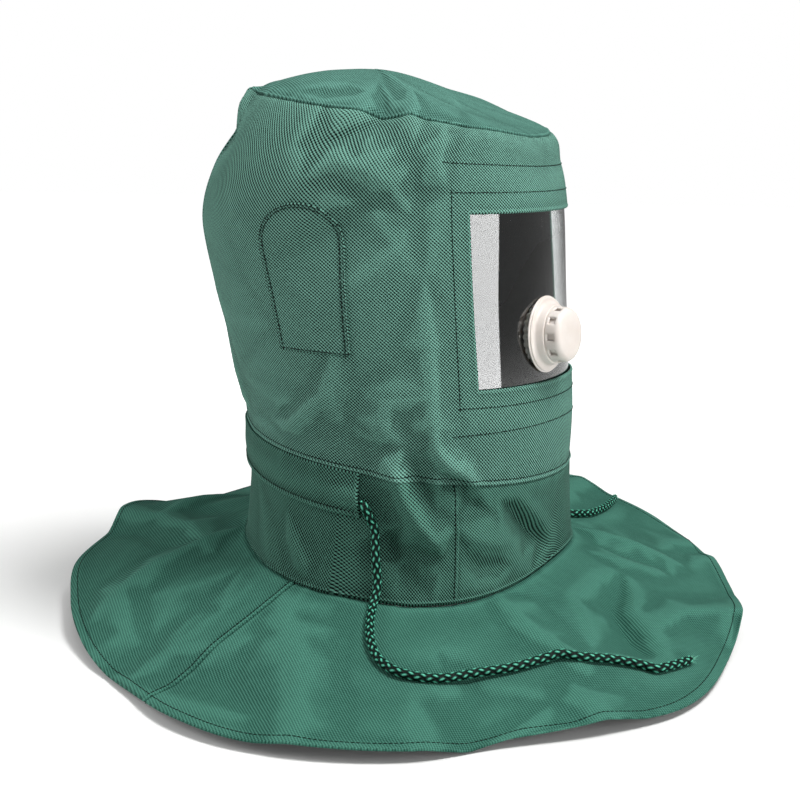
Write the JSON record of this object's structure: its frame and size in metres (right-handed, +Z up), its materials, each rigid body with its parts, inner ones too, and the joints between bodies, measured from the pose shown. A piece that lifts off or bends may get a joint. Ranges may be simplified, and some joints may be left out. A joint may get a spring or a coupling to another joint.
{
  "type": "sandblasting hood",
  "caption": "Green canvas protective hood in its worn form, with a clear front window, round exhaust valve, crown gusset, corded neck band and wide shoulder skirt.",
  "frame": {"origin": "inside of the crown, where the top of a head carries the hood", "axes": "+Z up, -Y toward the front with the window, -X toward the wearer's right side"},
  "size_m": [0.5522, 0.5176, 0.3897],
  "materials": {
    "canvas": "woven, matt",
    "canvas_band": "woven, matt",
    "canvas_patch": "woven, matt",
    "clear_sheet": "clear polished sheet",
    "valve_plastic": "moulded, satin",
    "cord_braid": "braided"
  },
  "bodies": {
    "root": {"face_panel": "canvas", "crown_gusset": "canvas", "ear_patch_right": "canvas_patch", "ear_patch_left": "canvas_patch", "neck_band_front": "canvas_band", "neck_band_back": "canvas_band", "cord_tunnel": "canvas_band", "skirt_front": "canvas", "skirt_back": "canvas", "window_sheet": "clear_sheet", "valve_body": "valve_plastic", "valve_cap": "valve_plastic", "valve_clamp_ring": "valve_plastic", "drawcord_right": "cord_braid", "drawcord_left": "cord_braid"}
  },
  "joints": []
}
